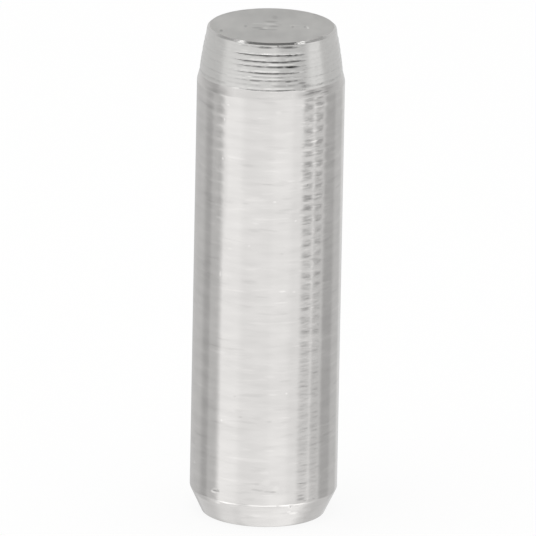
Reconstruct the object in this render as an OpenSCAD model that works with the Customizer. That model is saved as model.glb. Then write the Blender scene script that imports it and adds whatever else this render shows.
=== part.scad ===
// Dowel pin: one steel pin, turned from bar and then ground on its shank.
// It stands on its foot face at z = 0, with its axis on +Z and its lead end up.
// Lengths are in millimetres and angles in degrees.

/* [Shank] */
// Ground diameter of the shank
shank_d = 6; // [4.5:0.5:16]
// Overall length, from the foot face to the lead face
pin_len = 20.5; // [10:0.5:80]

/* [Lead end] */
// Length of the turned taper, measured along the axis
taper_len = 1.93; // [1:0.01:4]
// Angle between the taper and the axis
taper_angle = 9; // [4:0.5:16]
// Length of the shank's rolled-off edge, where the grinding runs out at the taper
rolloff_len = 0.37; // [0.15:0.01:0.8]
// Depth by which the rolled-off edge falls below the shank
rolloff_drop = 0.085; // [0.02:0.005:0.12]
// Width of the small chamfer on the rim of the lead face
rim_chamfer = 0.08; // [0.02:0.01:0.2]

/* [Tool marks] */
// Distance from one turned ridge on the taper to the next
ridge_pitch = 0.235; // [0.12:0.005:0.4]
// Radius of the turning tool's nose, which cuts the hollows between the ridges
tool_nose_r = 0.4; // [0.3:0.05:1.2]
// Diameter of the facing rings at the centre of the lead face
facing_d = 1.2; // [0.4:0.1:2]
// Number of facing rings
facing_rings = 2; // [1:1:4]
// Depth of the facing rings
facing_depth = 0.03; // [0.01:0.005:0.06]

/* [Foot end] */
// Height of the chamfer around the foot face
foot_chamfer_h = 1.04; // [0.3:0.02:2]
// Angle between the foot chamfer and the axis
foot_chamfer_angle = 25.5; // [10:0.5:45]
// How far the chamfer's upper edge is broken, along the chamfer and along the shank
foot_edge_break = 0.05; // [0.01:0.01:0.15]

/* [Hidden] */
$fn = 128;

// Radii of the half section
shank_r = shank_d / 2;
foot_r = shank_r - foot_chamfer_h * tan(foot_chamfer_angle);
taper_base_r = shank_r - rolloff_drop;
taper_tip_r = taper_base_r - taper_len * tan(taper_angle);
rim_r = taper_tip_r + rim_chamfer * sin(taper_angle);

// Heights of the half section
taper_base_z = pin_len - taper_len;
shank_top_z = taper_base_z - rolloff_len;
rim_z = pin_len - rim_chamfer * cos(taper_angle);

// Rolled-off edge: the arc that leaves the shank smoothly and ends at the taper's base
rolloff_r = (pow(rolloff_len, 2) + pow(rolloff_drop, 2)) / (2 * rolloff_drop);

// Ridges: whole hollows side by side, from the taper's base to the rim chamfer
ridge_slant = taper_len / cos(taper_angle) - rim_chamfer;
ridge_count = round(ridge_slant / ridge_pitch);
ridge_step = ridge_slant / ridge_count;
// How much deeper the tool goes, so that its hollows meet in a clean edge
ridge_bite = 0.001;
tool_offset = sqrt(pow(tool_nose_r, 2) - pow(ridge_step / 2, 2)) - ridge_bite;

// Width of one facing ring, from the axis out
facing_step = facing_d / 2 / facing_rings;

// Half section of the pin before its tool marks, with a chord for the rolled-off edge
module straight_section() {
    polygon([
        [0, 0],
        [foot_r, 0],
        [
            shank_r - foot_edge_break * sin(foot_chamfer_angle),
            foot_chamfer_h - foot_edge_break * cos(foot_chamfer_angle)
        ],
        [shank_r, foot_chamfer_h + foot_edge_break],
        [shank_r, shank_top_z],
        [taper_base_r, taper_base_z],
        [rim_r, rim_z],
        [taper_tip_r - rim_chamfer, pin_len],
        [0, pin_len]
    ]);
}

// Disc that fills the chord out to the rolled-off arc
module rolloff_section() {
    intersection() {
        translate([shank_r - rolloff_r, shank_top_z]) circle(r = rolloff_r);
        square([shank_d, taper_base_z]);
    }
}

// Row of tool-nose discs along the taper
module ridge_cuts() {
    translate([taper_base_r, taper_base_z])
        rotate(taper_angle)
            for (i = [0 : ridge_count - 1])
                translate([tool_offset, (i + 0.5) * ridge_step])
                    circle(r = tool_nose_r);
}

// Row of V grooves from the axis out, across the middle of the lead face
module facing_cuts() {
    for (i = [0 : facing_rings - 1])
        translate([(i + 0.5) * facing_step, pin_len])
            polygon([
                [-facing_step / 2, 0],
                [0, -facing_depth],
                [facing_step / 2, 0],
                [0, facing_depth]
            ]);
}

// The whole pin, turned about its axis
module dowel_pin() {
    color("gainsboro")
        rotate_extrude()
            difference() {
                union() {
                    straight_section();
                    rolloff_section();
                }
                ridge_cuts();
                facing_cuts();
            }
}

dowel_pin();
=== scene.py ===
"""Looks of the dowel pin: its turned and ground mesh, its steel finishes, and the stage it stands on."""

from math import asin, atan2, cos, pi, radians, sin, tan

import bpy
from bpy.props import FloatProperty, FloatVectorProperty, IntProperty, PointerProperty
from mathutils import Matrix, Vector


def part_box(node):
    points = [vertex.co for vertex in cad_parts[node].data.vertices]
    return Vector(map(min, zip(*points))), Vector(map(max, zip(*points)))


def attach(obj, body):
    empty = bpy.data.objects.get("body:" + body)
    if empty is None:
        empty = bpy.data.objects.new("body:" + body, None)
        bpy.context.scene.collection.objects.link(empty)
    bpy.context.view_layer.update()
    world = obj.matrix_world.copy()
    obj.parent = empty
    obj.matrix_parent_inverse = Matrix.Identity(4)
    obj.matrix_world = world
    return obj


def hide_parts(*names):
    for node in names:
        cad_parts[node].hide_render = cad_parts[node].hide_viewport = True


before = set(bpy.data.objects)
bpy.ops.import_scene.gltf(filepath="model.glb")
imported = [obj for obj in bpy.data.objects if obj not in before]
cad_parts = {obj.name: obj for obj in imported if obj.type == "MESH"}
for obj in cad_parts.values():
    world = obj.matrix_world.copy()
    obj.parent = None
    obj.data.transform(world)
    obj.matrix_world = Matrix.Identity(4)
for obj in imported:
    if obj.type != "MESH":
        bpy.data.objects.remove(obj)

bl_info = {
    "name": "Dowel Pin",
    "version": (1, 0, 0),
    "blender": (4, 5, 0),
    "location": "View3D > Sidebar > Dowel Pin",
    "description": "Builds a ground steel dowel pin and the stage that it stands on",
    "category": "Add Mesh",
}

MM = 0.001

# How the pin's mesh is joined and shaded: points closer than this merge, a face lower than this belongs
# to the foot face, and edges sharper than this angle stay sharp
MERGE_DISTANCE = 0.0002 * MM
FOOT_FACE_DEPTH = 0.0001 * MM
SHARP_ANGLE = radians(24)

# Radius of the worn rim round the foot face, and how high the closer rows for the nicks reach
FOOT_RIM = 0.03 * MM
NICK_ROWS_TOP = 2.4 * MM
# How far from a nick's line the points lie that are pressed in with it
NICK_LINE = 0.026 * MM

# Shares of a hollow's height at which its points lie, and which its steep part and its rounding take up
HOLLOW_POINTS = (0.04, 0.08, 0.13, 0.17, 0.21, 0.25, 0.29, 0.33, 0.55, 0.78, 1.0)
STEEP_SHARE = 0.13
ROUND_SHARE = 0.20

# Distance between the facing marks of the end faces, in millimetres
FACING_PITCH = 0.1

# The stage: the floor's side, the softbox's side and place, and what the camera looks at, in metres
FLOOR_SIDE = 0.5
SOFTBOX_SIDE = 0.08
SOFTBOX_PLACE = (-0.05, -0.03, 0.14)
CAMERA_AIM = (0.0229 * MM, 0, 10.2468 * MM)

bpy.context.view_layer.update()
PIN_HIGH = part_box("dowel_pin")[1]


def linear(hex_colour):
    """A colour written as sRGB hex, as the linear RGB that Blender's sockets take."""
    parts = [int(hex_colour[i : i + 2], 16) / 255 for i in (1, 3, 5)]
    return [c / 12.92 if c <= 0.04045 else ((c + 0.055) / 1.055) ** 2.4 for c in parts]


def length_property(name, description, millimetres):
    return FloatProperty(
        name=name,
        description=description,
        default=millimetres * MM,
        min=0.0,
        precision=5,
        subtype="DISTANCE",
        unit="LENGTH",
    )


def angle_property(name, description, degrees):
    return FloatProperty(
        name=name,
        description=description,
        default=radians(degrees),
        subtype="ANGLE",
        unit="ROTATION",
    )


def colour_property(name, description, hex_colour):
    return FloatVectorProperty(
        name=name,
        description=description,
        default=linear(hex_colour),
        size=3,
        min=0.0,
        max=1.0,
        subtype="COLOR",
    )


# ---------------------------------------------------------------- sizes and colours


class DowelPinSizes(bpy.types.PropertyGroup):
    """Sizes of the turned and ground pin."""

    shank_diameter: length_property(
        "Shank diameter", "Ground diameter of the shank", 2 * PIN_HIGH.x / MM
    )
    overall_length: length_property(
        "Overall length", "From the foot face to the lead face", PIN_HIGH.z / MM
    )
    taper_length: length_property("Taper length", "Turned taper, along the axis", 1.93)
    taper_angle: angle_property("Taper angle", "Between the taper and the axis", 9.0)
    rolloff_length: length_property(
        "Roll-off length", "Where the grinding runs out below the taper", 0.37
    )
    rolloff_drop: length_property(
        "Roll-off drop", "How far the rolled-off edge falls below the shank", 0.085
    )
    rim_chamfer: length_property(
        "Rim chamfer", "Small chamfer on the rim of the lead face", 0.08
    )
    rolloff_angle: angle_property(
        "Roll-off angle", "Slope at the end of the rounding that starts the rolled-off edge", 13.5
    )
    rolloff_rounding: length_property(
        "Roll-off rounding", "How far up the rolled-off edge that rounding reaches", 0.08
    )
    taper_crown: length_property(
        "Taper crown", "How far the middle of the taper bulges", 0.025
    )
    ridge_flank: angle_property(
        "Ridge flank", "Slope just above a turned ridge, against the taper", 16.0
    )
    facing_diameter: length_property(
        "Facing diameter", "Facing rings at the centre of the lead face", 1.2
    )
    facing_depth: length_property("Facing depth", "Depth of the facing rings", 0.008)
    foot_chamfer_height: length_property(
        "Foot chamfer height", "Chamfer around the foot face", 1.04
    )
    foot_chamfer_angle: angle_property(
        "Foot chamfer angle", "Between the foot chamfer and the axis", 25.5
    )
    foot_edge_break: length_property(
        "Foot edge break", "Softened edge where the foot chamfer meets the shank", 0.05
    )
    steps_round: IntProperty(
        name="Steps round", description="Faces around the pin", default=320, min=32
    )


class DowelPinFinish(bpy.types.PropertyGroup):
    """Colours and grinding marks of the pin's steel."""

    ground_colour: colour_property(
        "Ground steel", "Steel of the centreless-ground shank", "#DEDCDA"
    )
    turned_colour: colour_property(
        "Turned steel", "Steel of the turned taper", "#CFCECC"
    )
    faced_colour: colour_property(
        "Faced steel", "Steel of the faced ends", "#D8D7D4"
    )
    waviness_pitch: length_property(
        "Waviness pitch", "Distance between the faint rings left by the grinding", 0.47
    )
    waviness_height: length_property(
        "Waviness height", "Height of those rings where they are deepest", 0.0024
    )


class DowelPinStage(bpy.types.PropertyGroup):
    """Floor, light and camera."""

    paper_colour: colour_property(
        "Paper colour", "Seamless paper that the pin stands on", "#F6F6F5"
    )
    lamp_power: FloatProperty(
        name="Softbox power",
        description="Power of the overhead softbox",
        default=0.02,
        min=0.0,
        unit="POWER",
    )
    camera_distance: length_property(
        "Camera distance", "From the camera to the middle of the pin", 886.97
    )
    camera_elevation: angle_property(
        "Camera elevation", "How far the camera looks down", 16.81
    )
    camera_roll: angle_property(
        "Camera roll", "How far the camera is turned about its line of sight", 1.0885
    )
    focal_length: FloatProperty(
        name="Focal length",
        description="Of the camera's lens, in millimetres on a 36 mm sensor",
        default=1466.5,
        min=1.0,
    )


# ---------------------------------------------------------------- modelling by hand


def deselect_everything():
    if bpy.context.object and bpy.context.object.mode != "OBJECT":
        bpy.ops.object.mode_set(mode="OBJECT")
    bpy.ops.object.select_all(action="DESELECT")


def select_points(mesh, wanted):
    """Selects the vertices that pass the test, and nothing else, then enters edit mode."""
    bpy.ops.object.mode_set(mode="EDIT")
    bpy.ops.mesh.select_mode(type="VERT")
    bpy.ops.mesh.select_all(action="DESELECT")
    bpy.ops.object.mode_set(mode="OBJECT")
    mesh.vertices.foreach_set("select", [wanted(v.co) for v in mesh.vertices])
    bpy.ops.object.mode_set(mode="EDIT")


def select_faces(mesh, wanted):
    """Selects the faces whose middle passes the test, then enters edit mode."""
    bpy.ops.object.mode_set(mode="EDIT")
    bpy.ops.mesh.select_mode(type="FACE")
    bpy.ops.mesh.select_all(action="DESELECT")
    bpy.ops.object.mode_set(mode="OBJECT")
    mesh.polygons.foreach_set("select", [wanted(f.center) for f in mesh.polygons])
    bpy.ops.object.mode_set(mode="EDIT")


def arc(start, end, radius, pieces, hollow=False):
    """Points after start, up to end, on an arc that bulges outwards, or inwards if hollow."""
    start, end = Vector(start), Vector(end)
    chord = end - start
    half = asin(chord.length / 2 / radius)
    outward = Vector((chord.y, -chord.x)).normalized() * (-1 if hollow else 1)
    centre = (start + end) / 2 - outward * radius * cos(half)
    along = chord.normalized()
    turned = [half * (2 * i / pieces - 1) for i in range(1, pieces + 1)]
    return [centre + outward * radius * cos(t) + along * radius * sin(t) for t in turned]


def evenly(start, end, pieces):
    """Points after start, up to and with end, on a straight line."""
    start, end = Vector(start), Vector(end)
    return [start.lerp(end, i / pieces) for i in range(1, pieces + 1)]


# Nicks and scratches near the foot: azimuth in degrees and height in millimetres of both ends, with
# azimuth 0 on the camera's side, then the depth in microns and how far its sides reach, in millimetres
NICKS = (
    (-44.0, 1.42, -37.5, 1.46, 12, 0.08),
    (-8.5, 1.74, -1.0, 1.69, 5, 0.10),
    (-1.0, 1.69, 9.5, 1.62, 6, 0.10),
    (21.0, 1.02, 24.0, 0.92, 16, 0.07),
    (24.0, 0.92, 27.0, 0.78, 9, 0.06),
    (-71.0, 2.28, -69.0, 2.30, 9, 0.07),
    (13.0, 1.73, 16.0, 1.72, 6, 0.06),
)

# Heights of the turned ridges above the taper's base in millimetres, and how steep each hollow above
# them is against the steepest one. The ridges aren't evenly spaced.
RIDGES = (
    (0.00, 1.0),
    (0.21, 0.5),
    (0.40, 1.0),
    (0.54, 0.6),
    (0.70, 1.0),
    (0.97, 1.0),
    (1.16, 1.0),
    (1.40, 0.9),
    (1.77, 0.7),
)


def press_nick(mesh, start, end, depth, reach):
    """Presses the mesh inwards along a short line from start to end, each an azimuth and a height."""
    middle = (start[0] + end[0]) / 2
    inward = Vector((-sin(middle), cos(middle), 0)) * depth
    low, high = sorted((start[0], end[0]))
    step = (end[1] - start[1]) / (end[0] - start[0])

    def on_line(point):
        if point.y > 0 or abs(point.z - start[1]) > MM:
            return False
        azimuth = atan2(point.x, -point.y)
        line = start[1] + (azimuth - start[0]) * step
        return low <= azimuth <= high and abs(point.z - line) < NICK_LINE

    select_points(mesh, on_line)
    bpy.ops.transform.translate(
        value=inward,
        use_proportional_edit=True,
        proportional_edit_falloff="SMOOTH",
        proportional_size=reach,
    )
    bpy.ops.object.mode_set(mode="OBJECT")


class PinShape:
    """The pin's named corners as (radius, height), worked out from its sizes."""

    def __init__(self, sizes):
        s = sizes
        self.radius = s.shank_diameter / 2
        self.top = s.overall_length
        self.foot_radius = self.radius - s.foot_chamfer_height * tan(s.foot_chamfer_angle)
        self.chamfer_top = s.foot_chamfer_height
        self.taper_base = self.top - s.taper_length
        self.shank_top = self.taper_base - s.rolloff_length
        self.base_radius = self.radius - s.rolloff_drop
        self.tip_radius = self.base_radius - s.taper_length * tan(s.taper_angle)
        self.rim_radius = self.tip_radius + s.rim_chamfer * sin(s.taper_angle)
        self.rim_height = self.top - s.rim_chamfer * cos(s.taper_angle)
        self.lead_radius = self.tip_radius - s.rim_chamfer
        self.facing_radius = s.facing_diameter / 2

    def side_point(self, azimuth, height):
        """A point of the side in millimetres, from its azimuth in degrees and its height in millimetres."""
        up = height * MM
        radius = self.radius
        if up < self.chamfer_top:
            radius += (self.foot_radius - radius) * (1 - up / self.chamfer_top)
        if up > self.taper_base:
            share = (up - self.taper_base) / (self.rim_height - self.taper_base)
            radius = self.base_radius + (self.rim_radius - self.base_radius) * share
        turn = radians(azimuth)
        return (radius * sin(turn) / MM, -radius * cos(turn) / MM, height)

    def half_section(self, sizes):
        """Points of the half section, from the foot's centre out, up the side and in to the lead's centre."""
        s = sizes
        points = [Vector((0, 0))]

        def go(new):
            points.extend(new)

        # Foot face, its slightly worn rim, and the chamfer up to its softened upper edge
        a = s.foot_chamfer_angle
        go(evenly(points[-1], (self.foot_radius - FOOT_RIM, 0), 6))
        above_rim = (self.foot_radius + FOOT_RIM * sin(a), FOOT_RIM * cos(a))
        go(arc(points[-1], above_rim, FOOT_RIM / tan((pi / 2 - a) / 2), 3))
        under_edge = (
            self.radius - s.foot_edge_break * sin(a),
            self.chamfer_top - s.foot_edge_break * cos(a),
        )
        go(evenly(points[-1], under_edge, 14))
        over_edge = (self.radius, self.chamfer_top + s.foot_edge_break)
        go(arc(under_edge, over_edge, s.foot_edge_break / tan(a / 2), 4))

        # Shank, with closer rows near the foot for its nicks, and the rolled-off edge: a tight arc,
        # then a slack one
        go(evenly(points[-1], (self.radius, NICK_ROWS_TOP), 40))
        go(evenly(points[-1], (self.radius, self.shank_top), 24))
        fall = s.rolloff_angle
        rounding = s.rolloff_rounding / sin(fall)
        bend = (
            self.radius - rounding * (1 - cos(fall)),
            self.shank_top + s.rolloff_rounding,
        )
        go(arc(points[-1], bend, rounding, 6))
        rest = Vector((self.base_radius, self.taper_base)) - Vector(bend)
        turn = atan2(-rest.x, rest.y) - fall
        go(arc(bend, (self.base_radius, self.taper_base), rest.length / 2 / sin(turn), 8))

        # Hollows between the ridges: steep just above each ridge, then gently out again to the next one
        slope = tan(s.taper_angle)
        cusps = [self.taper_base + height * MM for height, steep in RIDGES]
        cusps.append(self.rim_height)
        for i, (height, steep) in enumerate(RIDGES):
            low, high = cusps[i], cusps[i + 1]
            inward = tan(s.ridge_flank) * steep
            used = STEEP_SHARE + ROUND_SHARE / 2
            outward = inward * used / (1 - used)
            for t in HOLLOW_POINTS:
                turned = min(max((t - STEEP_SHARE) / ROUND_SHARE, 0), 1)
                depth = inward * t - (inward + outward) * (
                    ROUND_SHARE * turned * turned / 2
                    + max(t - STEEP_SHARE - ROUND_SHARE, 0)
                )
                along = low + t * (high - low) - self.taper_base
                crown = s.taper_crown * sin(pi * along / (self.rim_height - self.taper_base))
                radius = self.base_radius - along * slope + crown - depth * (high - low)
                points.append(Vector((radius, self.taper_base + along)))

        # Rim chamfer, lead face and the facing rings at its centre
        go(evenly(points[-1], (self.lead_radius, self.top), 3))
        go(evenly(points[-1], (self.facing_radius, self.top), 10))
        ring = self.facing_radius / 2
        for i in (1, 0):
            bottom = ((i + 0.5) * ring, self.top - s.facing_depth)
            go(evenly(points[-1], bottom, 3))
            go(evenly(bottom, (i * ring, self.top), 3))
        return points


# ---------------------------------------------------------------- nodes


def add_node(tree, kind, inputs=(), **settings):
    """Adds a node with its settings. Its inputs, by name or number, take values or other nodes."""
    made = tree.nodes.new("ShaderNode" + kind)
    for name, value in settings.items():
        setattr(made, name, value)
    pairs = inputs.items() if isinstance(inputs, dict) else enumerate(inputs)
    for key, value in pairs:
        if isinstance(value, bpy.types.Node):
            value = value.outputs[0]
        if isinstance(value, bpy.types.NodeSocket):
            tree.links.new(value, made.inputs[key])
        elif value is not None:
            made.inputs[key].default_value = value
    return made


def soft_band(tree, value, low, high, soft):
    """1 where value lies between low and high, falling to 0 over soft at both ends."""
    rise = add_node(
        tree,
        "MapRange",
        {"Value": value, "From Min": low - soft / 2, "From Max": low + soft / 2},
        interpolation_type="SMOOTHSTEP",
    )
    fall = add_node(
        tree,
        "MapRange",
        {
            "Value": value,
            "From Min": high - soft / 2,
            "From Max": high + soft / 2,
            "To Min": 1.0,
            "To Max": 0.0,
        },
        interpolation_type="SMOOTHSTEP",
    )
    return add_node(tree, "Math", [rise, fall], operation="MULTIPLY")


def stretched_noise(tree, place, stretch, detail=2.0, roughness=0.5):
    """Noise with stretch cycles a millimetre along each axis. Fast up gives lines round the pin."""
    moved = add_node(tree, "Mapping", {"Vector": place, "Scale": stretch})
    return add_node(
        tree,
        "TexNoise",
        {"Vector": moved, "Scale": 1.0, "Detail": detail, "Roughness": roughness},
        noise_dimensions="3D",
    )


def steel(name):
    """A new metal material. Returns its node tree, its shader and the surface's place in millimetres."""
    material = bpy.data.materials.new(name)
    material.use_nodes = True
    tree = material.node_tree
    tree.nodes.clear()
    shader = add_node(tree, "BsdfPrincipled", {"Metallic": 1.0})
    add_node(tree, "OutputMaterial", [shader])
    coordinates = add_node(tree, "TexCoord").outputs["Object"]
    place = add_node(
        tree, "VectorMath", {"Vector": coordinates, "Scale": 1 / MM}, operation="SCALE"
    )
    return material, tree, shader, place


def layers(tree, start, *patterns):
    """Piles patterns up on a starting value, each (pattern, how much of it)."""
    pile = start
    for pattern, share in patterns:
        pile = add_node(tree, "Math", [pattern, share, pile], operation="MULTIPLY_ADD")
    return pile


def spots(tree, place, marks):
    """Soft spots: each mark is its middle and its reach along X, Y and Z, and its strength."""
    pile = 0.0
    for middle, reach, strength in marks:
        shrunk = [1 / length for length in reach]
        moved = [-centre * scale for centre, scale in zip(middle, shrunk)]
        away = add_node(tree, "VectorMath", [place, shrunk, moved], operation="MULTIPLY_ADD")
        away = add_node(tree, "VectorMath", [away], operation="LENGTH").outputs["Value"]
        spot = add_node(
            tree, "MapRange", [away, 0.3, 1.0, strength, 0.0], interpolation_type="SMOOTHSTEP"
        )
        pile = add_node(tree, "Math", [pile, spot], operation="ADD")
    return pile


def finish_steel(tree, shader, colour, tone, rough, height):
    """Joins a steel's tone, roughness and surface height, in millimetres, to its shader."""
    toned = add_node(
        tree, "VectorMath", {"Vector": list(colour), "Scale": tone}, operation="SCALE"
    )
    bump = add_node(tree, "Bump", {"Height": height, "Distance": MM, "Strength": 1.0})
    tree.links.new(toned.outputs[0], shader.inputs["Base Color"])
    tree.links.new(rough.outputs[0], shader.inputs["Roughness"])
    tree.links.new(bump.outputs[0], shader.inputs["Normal"])


# Marks on the side, most of them painted glints and painted shade: azimuth in degrees with 0 on the camera's
# side, height, half length round the pin and half height in millimetres, and how much lighter or darker the
# steel is there
GROUND_MARKS = (
    # Small painted glints
    (-34.6, 17.85, 0.10, 0.05, 0.12),
    (-38.2, 17.20, 0.05, 0.10, 0.20),
    (-39.0, 15.54, 0.05, 0.08, 0.25),
    (6.5, 17.70, 0.15, 0.12, 0.05),
    (17.0, 14.80, 0.25, 0.05, 0.08),
    (4.7, 13.94, 0.10, 0.05, 0.16),
    (21.6, 13.10, 0.07, 0.05, 0.16),
    (-9.8, 13.00, 0.20, 0.06, 0.07),
    (-14.6, 12.04, 0.06, 0.05, 0.12),
    (-30.7, 11.82, 0.15, 0.06, 0.06),
    (-39.6, 10.65, 0.06, 0.15, 0.20),
    (12.0, 10.15, 0.20, 0.06, 0.15),
    (21.4, 10.10, 0.12, 0.06, 0.10),
    (11.0, 9.67, 0.40, 0.05, 0.08),
    (16.8, 5.81, 0.06, 0.05, 0.18),
    (5.7, 5.78, 0.30, 0.05, 0.07),
    (-35.6, 4.49, 0.06, 0.05, 0.18),
    (4.1, 3.40, 0.35, 0.05, 0.07),
    (0.7, 2.45, 0.25, 0.12, 0.05),
    # Dark specks and smears; the last two are painted shade towards the left of the bright band
    (31.3, 14.57, 0.05, 0.04, -0.30),
    (-1.1, 14.67, 0.30, 0.04, -0.08),
    (-18.4, 13.81, 0.20, 0.05, -0.07),
    (-40.5, 17.50, 0.40, 0.60, -0.10),
    (-38.5, 14.60, 0.34, 3.80, -0.07),
    # Painted shade on the rolled-off edge
    (34.0, 18.38, 0.90, 0.18, -0.12),
    (-41.0, 18.38, 0.35, 0.18, -0.09),
    # A dark line painted down across it as a painted reflection, painted shade on its left, then dark marks
    # lower down the shank
    (26.0, 18.56, 0.36, 0.035, -0.22),
    (33.0, 18.50, 0.36, 0.035, -0.22),
    (40.0, 18.42, 0.36, 0.035, -0.20),
    (47.0, 18.33, 0.36, 0.035, -0.16),
    (-50.0, 18.27, 0.90, 0.12, -0.07),
    (-10.4, 12.70, 0.35, 0.10, -0.06),
    (11.1, 11.74, 0.10, 0.04, -0.10),
    (-14.0, 10.52, 0.50, 0.15, -0.05),
    (-4.4, 9.91, 0.40, 0.04, -0.08),
    (-24.1, 5.61, 0.10, 0.05, -0.10),
    (-19.1, 4.76, 0.12, 0.05, -0.10),
    (3.6, 4.63, 0.15, 0.06, -0.10),
    # Painted shade in the nicks near the foot, a painted highlight on the burr beside it, and painted light
    # and shade round them
    (-40.5, 1.43, 0.22, 0.05, -0.34),
    (-41.0, 1.54, 0.16, 0.04, 0.14),
    (-6.5, 1.73, 0.22, 0.06, -0.13),
    (-2.5, 1.70, 0.20, 0.06, -0.13),
    (3.0, 1.66, 0.18, 0.06, -0.13),
    (7.4, 1.64, 0.20, 0.06, -0.20),
    (4.0, 1.50, 0.40, 0.05, 0.07),
    (30.5, 1.40, 0.20, 0.06, -0.22),
    (31.0, 1.24, 0.26, 0.09, -0.24),
    (22.2, 0.95, 0.05, 0.07, -0.35),
    (26.5, 0.62, 0.26, 0.09, 0.20),
    (-6.0, 0.55, 0.30, 0.12, 0.06),
    (22.0, 0.70, 0.12, 0.08, 0.15),
    (2.0, 2.05, 0.26, 0.18, 0.07),
    (-5.0, 1.96, 0.16, 0.08, -0.07),
    (10.0, 1.78, 0.20, 0.15, 0.06),
    # Painted highlights and painted shade along the foot chamfer's upper edge
    (-33.0, 1.02, 0.50, 0.07, 0.14),
    (-16.0, 1.04, 0.42, 0.07, -0.22),
    (11.5, 1.04, 0.10, 0.06, -0.16),
    (18.0, 1.03, 0.26, 0.07, 0.12),
    (30.0, 1.04, 0.35, 0.05, 0.10),
    (-58.0, 0.98, 0.70, 0.15, -0.17),
    (68.0, 0.93, 0.40, 0.11, -0.08),
    (-38.5, 0.94, 0.18, 0.08, 0.22),
    (-24.0, 0.94, 0.30, 0.10, 0.07),
    # Painted light and painted shade on the foot chamfer and just above it
    (10.0, 1.30, 1.10, 0.30, 0.05),
    (32.0, 0.22, 0.34, 0.22, -0.08),
    (40.0, 0.60, 0.34, 0.26, 0.05),
    (70.0, 0.55, 0.30, 0.34, -0.06),
)


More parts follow.
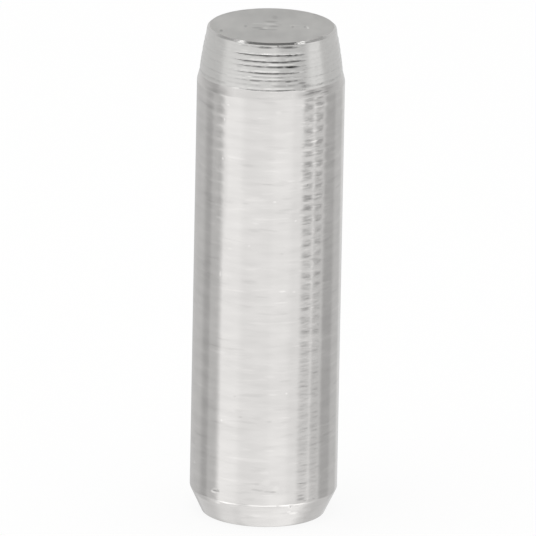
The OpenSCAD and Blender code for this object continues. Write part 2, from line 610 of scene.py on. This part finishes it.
def ground_steel(finish, shape):
    """Centreless-ground stainless steel: bright, softly blurred bands and faint lines round it."""
    material, tree, shader, place = steel("centreless_ground_stainless")
    parts = add_node(tree, "SeparateXYZ", [place])
    up = parts.outputs["Z"]
    on_shank = add_node(tree, "MapRange", [up, 1.0, 1.2, 0.3, 1.0])

    # Waviness rings a few microns high, patchy, and fading towards the foot and towards both ends of X
    wander = stretched_noise(tree, place, (0.06, 0.06, 0.3), detail=1.0)
    wander = add_node(tree, "Math", [wander, 8.0], operation="MULTIPLY")
    turns = 2 * pi * MM / finish.waviness_pitch
    rings = add_node(tree, "Math", [up, turns, wander], operation="MULTIPLY_ADD")
    rings = add_node(tree, "Math", [rings], operation="SINE")
    patchy = stretched_noise(tree, place, (1.4, 1.4, 1.2))
    patchy = add_node(tree, "MapRange", [patchy, 0.34, 0.60, 0.25, 1.25])
    rings_fade = add_node(tree, "MapRange", [up, 6.0, 16.0, 0.06, 1.0])
    patchy = add_node(tree, "Math", [patchy, rings_fade], operation="MULTIPLY")
    sideways = add_node(tree, "Math", [parts.outputs["X"]], operation="ABSOLUTE")
    calm = add_node(tree, "MapRange", [sideways, 2.1, 2.4, 1.0, 0.3])
    patchy = add_node(tree, "Math", [patchy, calm], operation="MULTIPLY")
    rings = add_node(tree, "Math", [rings, patchy], operation="MULTIPLY")

    # Ripples between the rings, shorter and less even
    ripples = stretched_noise(tree, place, (1.3, 1.3, 4.2), detail=1.0)
    ripples_fade = add_node(tree, "MapRange", [up, 1.0, 14.0, 0.45, 1.0])
    ripples = add_node(tree, "Math", [ripples, ripples_fade], operation="MULTIPLY")

    # Grinding lines and grain: real ones are about 0.01 mm apart, drawn at 0.15 to 0.18 mm so that
    # they show
    lines = stretched_noise(tree, place, (0.9, 0.9, 5.5))
    grain = stretched_noise(tree, place, (2.0, 2.0, 6.5), detail=1.0)

    # A few short scratches round the shank, each a steep-sided groove that glints
    scratches = stretched_noise(tree, place, (0.55, 0.55, 6.0), detail=1.0)
    scratches = add_node(tree, "MapRange", [scratches, 0.64, 0.74, 0.0, -1.0])
    broken = stretched_noise(tree, place, (1.6, 1.6, 1.6), detail=0.0)
    broken = add_node(tree, "MapRange", [broken, 0.5, 0.62, 0.0, 1.0])
    scratches = add_node(tree, "Math", [scratches, broken], operation="MULTIPLY")
    marks = layers(
        tree, 0.0, (ripples, 0.0040), (lines, 0.0011), (grain, 0.0022), (scratches, 0.001)
    )
    marks = add_node(tree, "Math", [marks, on_shank], operation="MULTIPLY")
    marks = add_node(tree, "Math", [marks, calm], operation="MULTIPLY")

    # The foot chamfer's upper edge is bruised, so its light line is broken
    foot_edge = soft_band(tree, up, 0.95, 1.15, 0.08)
    bruises = stretched_noise(tree, place, (2.2, 2.2, 2.2), detail=1.0)
    bruises = add_node(tree, "Math", [bruises, 0.5], operation="SUBTRACT")
    bruises = add_node(tree, "Math", [bruises, foot_edge], operation="MULTIPLY")
    height = layers(
        tree, marks, (rings, finish.waviness_height / MM), (bruises, 0.010)
    )

    # Painted shade: the rolled-off edge is darker towards both ends of X
    rolled_off = soft_band(
        tree, up, shape.shank_top / MM + 0.01, shape.taper_base / MM, 0.06
    )
    across = add_node(tree, "Math", [parts.outputs["X"], 0.25], operation="ADD")
    across = add_node(tree, "Math", [across], operation="ABSOLUTE")
    painted_rolloff_shade = add_node(tree, "MapRange", [across, 1.2, 1.95, 0.0, 1.0])
    painted_rolloff_shade = add_node(tree, "Math", [painted_rolloff_shade, rolled_off], operation="MULTIPLY")
    rolloff_shade_fade = add_node(tree, "MapRange", [sideways, 2.3, 2.8, 1.0, 0.4])
    painted_rolloff_shade = add_node(tree, "Math", [painted_rolloff_shade, rolloff_shade_fade], operation="MULTIPLY")

    # Faint blotches, streaks and short flecks, and the single marks of GROUND_MARKS, most of which are
    # painted glints and painted shade
    streaks = stretched_noise(tree, place, (0.7, 0.7, 3.0), detail=1.0)
    clouds = stretched_noise(tree, place, (0.6, 0.6, 0.45), detail=1.0)
    flecks = stretched_noise(tree, place, (0.8, 0.8, 5.2), detail=1.0)
    light = add_node(tree, "MapRange", [flecks, 0.64, 0.76, 0.0, 0.06])
    dark = add_node(tree, "MapRange", [flecks, 0.26, 0.38, -0.07, 0.0])
    # Painted reflections: dark and light dashes on the right of the camera's side, fewer towards the foot
    painted_dashes = stretched_noise(tree, place, (1.6, 1.6, 7.0), detail=1.0)
    painted_dark_dashes = add_node(tree, "MapRange", [painted_dashes, 0.30, 0.42, -0.20, 0.0])
    painted_light_dashes = add_node(tree, "MapRange", [painted_dashes, 0.58, 0.70, 0.0, 0.14])
    painted_dashes = add_node(tree, "Math", [painted_dark_dashes, painted_light_dashes], operation="ADD")
    painted_dashes_mask = soft_band(tree, parts.outputs["X"], 1.30, 2.10, 0.25)
    facing = add_node(tree, "MapRange", [parts.outputs["Y"], -1.5, -2.0, 0.0, 1.0])
    painted_dashes_mask = add_node(tree, "Math", [painted_dashes_mask, facing], operation="MULTIPLY")
    painted_dashes_fade = add_node(tree, "MapRange", [up, 4.0, 13.0, 0.35, 1.0])
    painted_dashes_mask = add_node(tree, "Math", [painted_dashes_mask, painted_dashes_fade], operation="MULTIPLY")
    placed = [
        (shape.side_point(azimuth, up_by), (length, length, tall), strength)
        for azimuth, up_by, length, tall, strength in GROUND_MARKS
    ]
    tone = layers(
        tree,
        0.85,
        (streaks, 0.18),
        (clouds, 0.14),
        (light, 1.0),
        (dark, 1.0),
        (painted_rolloff_shade, -0.34),
        (painted_dashes, painted_dashes_mask),
        (spots(tree, place, placed), 1.0),
    )
    rough = layers(tree, 0.09, (streaks, 0.08))
    finish_steel(tree, shader, finish.ground_colour, tone, rough, height)
    return material


# Painted shade and painted highlights along the turned ridges, standing in for their reflections, with
# columns as in GROUND_MARKS
TURNED_MARKS = (
    (20.0, 19.77, 0.42, 0.06, -0.36),
    (18.0, 19.53, 0.40, 0.07, -0.42),
    (8.0, 19.53, 0.20, 0.05, -0.22),
    (-2.0, 19.75, 0.40, 0.05, -0.16),
    (-22.0, 19.71, 0.30, 0.05, -0.16),
    (-27.0, 19.49, 0.20, 0.06, -0.12),
    (26.0, 18.86, 0.26, 0.07, -0.32),
    (14.0, 18.94, 0.20, 0.04, -0.25),
    (29.5, 18.74, 0.34, 0.12, -0.19),
    (5.6, 20.40, 0.03, 0.10, -0.50),
    (17.0, 20.31, 0.45, 0.06, -0.36),
    (-6.0, 20.32, 0.50, 0.06, -0.40),
    (14.0, 20.12, 0.80, 0.05, 0.08),
    (-24.0, 20.14, 0.25, 0.05, 0.10),
    (18.0, 19.90, 0.50, 0.04, 0.12),
)


def turned_steel(finish, shape):
    """Turned stainless steel: a little duller than the ground shank, with broken tool lines round it."""
    material, tree, shader, place = steel("turned_stainless")
    parts = add_node(tree, "SeparateXYZ", [place])
    # Tool lines: real ones are about 0.02 mm apart, drawn at 0.08 mm so that they show
    lines = stretched_noise(tree, place, (0.7, 0.7, 12.0))
    torn = stretched_noise(tree, place, (4.0, 4.0, 6.0))
    # On one side of the taper, on the camera's side, the tool dragged and tore the surface more, and the
    # steel there is darkened as painted shade
    dragged = soft_band(tree, parts.outputs["X"], 0.3, 1.45, 0.4)
    facing = add_node(tree, "MapRange", [parts.outputs["Y"], -1.5, -2.0, 0.0, 1.0])
    torn_and_shaded_side = add_node(tree, "Math", [dragged, facing], operation="MULTIPLY")
    dragged = add_node(tree, "MapRange", [torn_and_shaded_side, 0.0, 1.0, 1.0, 2.4])
    torn_more = add_node(tree, "Math", [torn, dragged], operation="MULTIPLY")
    height = layers(tree, 0.0, (lines, 0.0012), (torn_more, 0.0052))
    # Painted reflections: dark lines in the tool marks on the camera's side, broken into short pieces, with a
    # painted highlight above each
    base = shape.taper_base / MM
    painted_dark_lines = [
        ((0.05, -2.6, base + ridge + 0.01), (1.7, 2.5, 0.07), -0.30 * steep)
        for ridge, steep in RIDGES
    ]
    painted_light_lines = [
        ((0.05, -2.6, base + ridge + 0.10), (1.7, 2.5, 0.06), 0.19 * steep)
        for ridge, steep in RIDGES
    ]
    broken = stretched_noise(tree, place, (2.6, 2.6, 3.5), detail=1.0)
    broken = add_node(tree, "MapRange", [broken, 0.38, 0.6, 0.1, 1.5])
    placed = [
        (shape.side_point(azimuth, up_by), (length, length, tall), strength)
        for azimuth, up_by, length, tall, strength in TURNED_MARKS
    ]
    tone = layers(
        tree,
        0.93,
        (torn, 0.10),
        (lines, 0.07),
        (torn_and_shaded_side, -0.20),
        (spots(tree, place, painted_dark_lines + painted_light_lines), broken),
        (spots(tree, place, placed), 1.0),
    )
    rough = layers(tree, 0.10, (lines, 0.12))
    finish_steel(tree, shader, finish.turned_colour, tone, rough, height)
    return material


# Pits in the lead face: across, towards the back, half width and half depth in millimetres, and
# how many microns deep
PITS = (
    (-2.05, -0.85, 0.13, 0.30, 9),
    (2.16, -1.42, 0.12, 0.26, 12),
    (1.41, -0.18, 0.10, 0.22, 12),
    (0.84, -0.12, 0.10, 0.30, 8),
    (-1.07, -0.15, 0.10, 0.28, 6),
)

# Painted highlights and painted shade at the middle of the lead face and its pits, and broad patches: across,
# towards the back, half width and half depth in millimetres, and how much lighter or darker the steel is
# there
FACED_MARKS = (
    (-0.10, 0.24, 0.46, 0.15, 0.21),
    (-0.62, 0.26, 0.30, 0.13, 0.10),
    (-0.28, -0.38, 0.16, 0.17, 0.24),
    (-0.60, -0.36, 0.30, 0.14, -0.20),
    (-0.04, 0.58, 0.36, 0.19, -0.24),
    (0.07, -0.12, 0.28, 0.17, -0.20),
    (0.02, -0.58, 0.30, 0.17, -0.16),
    (-0.36, -0.56, 0.26, 0.14, -0.22),
    (0.11, 1.20, 0.16, 0.40, -0.12),
    (0.90, 0.10, 0.30, 0.14, 0.08),
    (1.45, -0.26, 0.07, 0.18, 0.34),
    (1.34, -0.10, 0.08, 0.20, -0.22),
    (-2.05, -0.85, 0.10, 0.24, -0.30),
    (0.84, -0.12, 0.08, 0.24, -0.20),
    (-1.07, -0.15, 0.09, 0.24, -0.18),
    (2.05, -1.52, 0.30, 0.12, -0.20),
    (1.78, 1.72, 0.24, 0.12, -0.18),
    (-1.22, 2.16, 0.22, 0.10, -0.14),
    (-1.90, 0.40, 0.70, 1.30, 0.06),
    (1.75, -0.30, 0.90, 1.30, 0.05),
    (0.20, 1.50, 1.30, 0.80, -0.05),
    (-0.40, -1.30, 1.40, 0.80, -0.04),
)


def faced_steel(finish, shape):
    """Faced stainless steel: an even grey with faint rings about the centre and a few pits."""
    material, tree, shader, place = steel("faced_stainless")
    out = add_node(tree, "VectorMath", [place, (1.0, 1.0, 0.0)], operation="MULTIPLY")
    out = add_node(tree, "VectorMath", [out], operation="LENGTH").outputs["Value"]
    rings = add_node(tree, "Math", [out, 2 * pi / FACING_PITCH], operation="MULTIPLY")
    rings = add_node(tree, "Math", [rings], operation="SINE")
    grain = stretched_noise(tree, place, (2.2, 1.1, 2.2), detail=1.0)
    top = shape.top / MM
    pits = [
        ((across, back, top), (wide, deep, 1.0), -microns / 1000)
        for across, back, wide, deep, microns in PITS
    ]
    height = layers(
        tree, 0.0, (rings, 0.0002), (spots(tree, place, pits), 1.0)
    )
    # Painted highlights and painted shade of FACED_MARKS
    painted_light_and_shade = [
        ((across, back, top), (wide, deep, 1.0), strength)
        for across, back, wide, deep, strength in FACED_MARKS
    ]
    clouds = stretched_noise(tree, place, (0.5, 0.35, 0.5), detail=1.0)
    tone = layers(
        tree, 0.80, (grain, 0.16), (clouds, 0.14), (spots(tree, place, painted_light_and_shade), 1.0)
    )
    rough = layers(tree, 0.28, (grain, 0.10))
    finish_steel(tree, shader, finish.faced_colour, tone, rough, height)
    return material


# ---------------------------------------------------------------- the pin


class DOWELPIN_OT_turned_pin(bpy.types.Operator):
    """Turn the pin's half section about its axis and give each zone its steel"""

    bl_idname = "dowel_pin.turned_pin"
    bl_label = "Turned Pin"
    bl_options = {"REGISTER", "UNDO"}

    def execute(self, context):
        sizes = context.scene.dowel_pin_sizes
        finish = context.scene.dowel_pin_finish
        shape = PinShape(sizes)
        section = shape.half_section(sizes)

        # A plane is merged to one point at the foot's centre, which is then drawn out along the half section
        deselect_everything()
        bpy.ops.mesh.primitive_plane_add(size=MM, location=(0, 0, 0))
        pin = context.object
        pin.name = pin.data.name = "turned_pin"
        mesh = pin.data
        bpy.ops.object.mode_set(mode="EDIT")
        bpy.ops.mesh.select_mode(type="VERT")
        bpy.ops.mesh.select_all(action="SELECT")
        bpy.ops.mesh.merge(type="CENTER")
        here = section[0]
        for point in section[1:]:
            step = point - here
            bpy.ops.mesh.extrude_vertices_move(
                TRANSFORM_OT_translate={"value": (step.x, 0, step.y)}
            )
            here = point

        # One full turn, then the seam and both poles are closed
        bpy.ops.mesh.select_all(action="SELECT")
        bpy.ops.mesh.spin(
            steps=sizes.steps_round,
            dupli=False,
            angle=2 * pi,
            use_auto_merge=False,
            center=(0, 0, 0),
            axis=(0, 0, 1),
        )
        bpy.ops.mesh.select_all(action="SELECT")
        bpy.ops.mesh.remove_doubles(threshold=MERGE_DISTANCE)
        bpy.ops.mesh.normals_make_consistent(inside=False)
        bpy.ops.object.mode_set(mode="OBJECT")

        for a0, z0, a1, z1, depth, reach in NICKS:
            press_nick(
                mesh,
                (radians(a0), z0 * MM),
                (radians(a1), z1 * MM),
                depth / 1000 * MM,
                reach * MM,
            )

        # Each zone gets its steel
        zones = (
            (ground_steel(finish, shape), lambda c: True),
            (
                turned_steel(finish, shape),
                lambda c: c.z > shape.taper_base,
            ),
            (
                faced_steel(finish, shape),
                lambda c: c.z < FOOT_FACE_DEPTH
                or (c.z > shape.rim_height and c.xy.length < shape.lead_radius),
            ),
        )
        for i, (material, wanted) in enumerate(zones):
            mesh.materials.append(material)
            pin.active_material_index = i
            select_faces(mesh, wanted)
            bpy.ops.object.material_slot_assign()
            bpy.ops.object.mode_set(mode="OBJECT")

        deselect_everything()
        pin.select_set(True)
        context.view_layer.objects.active = pin
        bpy.ops.object.shade_smooth_by_angle(angle=SHARP_ANGLE)
        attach(pin, "root")
        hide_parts("dowel_pin")
        return {"FINISHED"}


# ---------------------------------------------------------------- the stage

# Soft panels that stand round the pin, as its steel mirrors them: azimuth from and to, elevation from and to,
# how soft the upright and the level edges are, and the light that the panel gives. Azimuth 0 is the camera's
# side and 90 is its right. All angles are in degrees, and later panels stand in front of earlier ones. They
# are in the world's light and only the steel's reflections see them. The floor is hidden from those, so the
# panels reach below it.
PANELS = (
    ("left wall", -172, -60, -90, 34, 16, 12, 0.76),
    ("right wall", 60, 172, -90, 34, 16, 12, 0.75),
    ("left skirting", -172, -60, -90, -30, 16, 8, 0.72),
    ("right skirting", 60, 172, -90, -30, 16, 8, 0.70),
    ("far right skirting", 110, 168, -90, -26, 16, 8, 0.65),
    ("left low wall", -175, -110, -28, -15, 14, 2, 0.60),
    ("right low wall", 110, 151.5, -28, -15, 14, 2, 0.60),
    ("left back light", -210, -150, 28, 60, 12, 10, 1.0),
    ("right back light", 150, 210, 28, 60, 12, 10, 1.0),
    ("left gap", -118, -98, -24, -14.6, 16, 1.6, 0.46),
    ("right gap", 96.5, 123, -24, -14.6, 11, 1.6, 0.48),
    ("upper front", -88, 93, -14, 16, 12, 2, 0.97),
    ("left shoulder", -99, -75, -24, -13.5, 6, 2, 0.60),
    ("lower front", -74.8, 56, -90, -7, 2.5, 6, 0.985),
    ("left light", -78, -42, -90, -7, 14, 6, 1.07),
    ("middle light", 6, 34, -90, -7, 12, 6, 1.03),
    ("right shade", 38, 62, -90, -7, 8, 6, 0.95),
    ("right wing", 53, 73, -40, -13.5, 7, 2, 0.84),
    ("right upper front", 67, 91, -14, 4, 6, 4, 1.05),
    ("far right wing", 73, 95, -40, -14, 5, 2, 0.72),
    ("right bar", 55.5, 71, -16.0, -12.8, 8, 2.2, 0.34),
    ("far right bar", 77.5, 92, -16.0, -13, 6, 2.2, 0.36),
    ("right strip", 72.3, 75.5, -40, -14, 2.6, 2, 0.90),
    ("left upper light", -88, -68, 13, 50, 12, 6, 0.96),
    ("right upper light", 60, 94, 13, 50, 12, 6, 1.0),
    ("left table", -112, -50, -90, -38, 30, 8, 0.90),
    ("table", -62, 40, -90, -38, 24, 8, 1.03),
    ("right table", 36, 97, -90, -38, 30, 8, 1.10),
    ("table edge", -84, 72, -54, -32, 14, 10, 1.4),
    ("front ledge", -56, 48, 6, 14, 10, 4, 0.93),
    ("front window", -66, 58, 17, 22, 12, 3, 2.2),
    ("dark above", -66, 58, 22, 62, 16, 3, 0.22),
    ("dark overhead", -180, 180, 62, 90, 10, 10, 0.22),
    ("left softbox", -101, -80, 48, 63, 5, 5, 2.9),
    ("right softbox", 80, 102, 48, 63, 5, 5, 2.7),
)
BACK_WALL = 0.51


class DOWELPIN_OT_stage(bpy.types.Operator):
    """Lay the floor, set the soft panels and the softbox, and place the camera"""

    bl_idname = "dowel_pin.stage"
    bl_label = "Stage"
    bl_options = {"REGISTER", "UNDO"}

    def execute(self, context):
        stage = context.scene.dowel_pin_stage
        self.lay_floor(context, stage)
        self.set_panels(context)
        self.hang_softbox(context, stage)
        self.place_camera(context, stage)
        context.scene.view_settings.view_transform = "Standard"
        return {"FINISHED"}

    def lay_floor(self, context, stage):
        deselect_everything()
        bpy.ops.mesh.primitive_plane_add(size=FLOOR_SIDE, location=(0, 0, 0))
        floor = context.object
        floor.name = floor.data.name = "paper_floor"
        floor.visible_glossy = False
        material = bpy.data.materials.new("pale_seamless_paper")
        material.use_nodes = True
        tree = material.node_tree
        tree.nodes.clear()
        # White to the camera, with enough of the plain paper left in it to keep the pin's faint shadow
        seen = add_node(tree, "LightPath").outputs["Is Camera Ray"]
        share = add_node(tree, "Math", [seen, 0.85], operation="MULTIPLY")
        paper = add_node(tree, "BsdfDiffuse", {"Color": [*stage.paper_colour, 1.0]})
        white = add_node(tree, "Emission", {"Color": (1.0, 1.0, 1.0, 1.0), "Strength": 1.0})
        mixed = add_node(tree, "MixShader", [share, paper, white])
        add_node(tree, "OutputMaterial", [mixed])
        floor.data.materials.append(material)

    def set_panels(self, context):
        world = bpy.data.worlds.new("soft_panels")
        context.scene.world = world
        world.use_nodes = True
        tree = world.node_tree
        tree.nodes.clear()
        facing = add_node(tree, "TexCoord").outputs["Generated"]
        parts = add_node(tree, "SeparateXYZ", [facing])
        away = add_node(tree, "Math", [parts.outputs["Y"], -1.0], operation="MULTIPLY")
        azimuth = add_node(
            tree, "Math", [parts.outputs["X"], away], operation="ARCTAN2"
        )
        azimuth = add_node(tree, "Math", [azimuth], operation="DEGREES")
        elevation = add_node(tree, "Math", [parts.outputs["Z"]], operation="ARCSINE")
        elevation = add_node(tree, "Math", [elevation], operation="DEGREES")
        light = BACK_WALL
        for name, left, right, low, high, upright, level, strength in PANELS:
            across = soft_band(tree, azimuth, left, right, upright)
            up = soft_band(tree, elevation, low, high, level)
            covered = add_node(tree, "Math", [across, up], operation="MULTIPLY", label=name)
            panel = add_node(
                tree, "Mix", {"Factor": covered, "A": light, "B": strength}
            )
            light = panel
        path = add_node(tree, "LightPath")
        # The camera, glass and matt surfaces see plain white instead of the panels
        plain = add_node(
            tree,
            "Math",
            [path.outputs["Is Camera Ray"], path.outputs["Is Transmission Ray"]],
            operation="MAXIMUM",
        )
        plain = add_node(
            tree, "Math", [plain, path.outputs["Is Diffuse Ray"]], operation="MAXIMUM"
        )
        strength = add_node(tree, "Mix", {"Factor": plain, "A": light, "B": 1.0})
        shone = add_node(
            tree, "Background", {"Color": (1.0, 1.0, 1.0, 1.0), "Strength": strength}
        )
        add_node(tree, "OutputWorld", [shone])

    def hang_softbox(self, context, stage):
        lamp = bpy.data.lights.new("overhead_softbox", "AREA")
        lamp.energy = stage.lamp_power
        lamp.size = SOFTBOX_SIDE
        box = bpy.data.objects.new("overhead_softbox", lamp)
        box.location = SOFTBOX_PLACE
        box.rotation_euler = (Vector((0, 0, 0)) - box.location).to_track_quat("-Z", "Y").to_euler()
        box.visible_glossy = False
        context.scene.collection.objects.link(box)

    def place_camera(self, context, stage):
        camera_data = bpy.data.cameras.new("stage_camera")
        camera_data.sensor_width = 36.0
        camera_data.lens = stage.focal_length
        camera_data.clip_start = 0.01
        camera_data.clip_end = 10.0
        camera = bpy.data.objects.new("stage_camera", camera_data)
        back = Vector((0, -cos(stage.camera_elevation), sin(stage.camera_elevation)))
        aim = Vector(CAMERA_AIM)
        turn = back.to_track_quat("Z", "Y").to_matrix().to_4x4()
        camera.matrix_world = (
            Matrix.Translation(aim + back * stage.camera_distance)
            @ turn
            @ Matrix.Rotation(stage.camera_roll, 4, "Z")
        )
        context.scene.collection.objects.link(camera)
        context.scene.camera = camera


class DOWELPIN_PT_sidebar(bpy.types.Panel):
    """Sizes, finishes and build steps of the dowel pin"""

    bl_idname = "DOWELPIN_PT_sidebar"
    bl_label = "Dowel Pin"
    bl_space_type = "VIEW_3D"
    bl_region_type = "UI"
    bl_category = "Dowel Pin"

    def draw(self, context):
        layout = self.layout
        scene = context.scene
        for group in (scene.dowel_pin_sizes, scene.dowel_pin_finish):
            box = layout.box()
            for name in group.__annotations__:
                box.prop(group, name)
        layout.operator(DOWELPIN_OT_turned_pin.bl_idname)
        box = layout.box()
        for name in scene.dowel_pin_stage.__annotations__:
            box.prop(scene.dowel_pin_stage, name)
        layout.operator(DOWELPIN_OT_stage.bl_idname)


CLASSES = (
    DowelPinSizes,
    DowelPinFinish,
    DowelPinStage,
    DOWELPIN_OT_turned_pin,
    DOWELPIN_OT_stage,
    DOWELPIN_PT_sidebar,
)


def register():
    for item in CLASSES:
        bpy.utils.register_class(item)
    bpy.types.Scene.dowel_pin_sizes = PointerProperty(type=DowelPinSizes)
    bpy.types.Scene.dowel_pin_finish = PointerProperty(type=DowelPinFinish)
    bpy.types.Scene.dowel_pin_stage = PointerProperty(type=DowelPinStage)


def unregister():
    del bpy.types.Scene.dowel_pin_stage
    del bpy.types.Scene.dowel_pin_finish
    del bpy.types.Scene.dowel_pin_sizes
    for item in reversed(CLASSES):
        bpy.utils.unregister_class(item)


def main():
    register()
    bpy.ops.dowel_pin.turned_pin()
    bpy.ops.dowel_pin.stage()


if __name__ == "__main__":
    main()
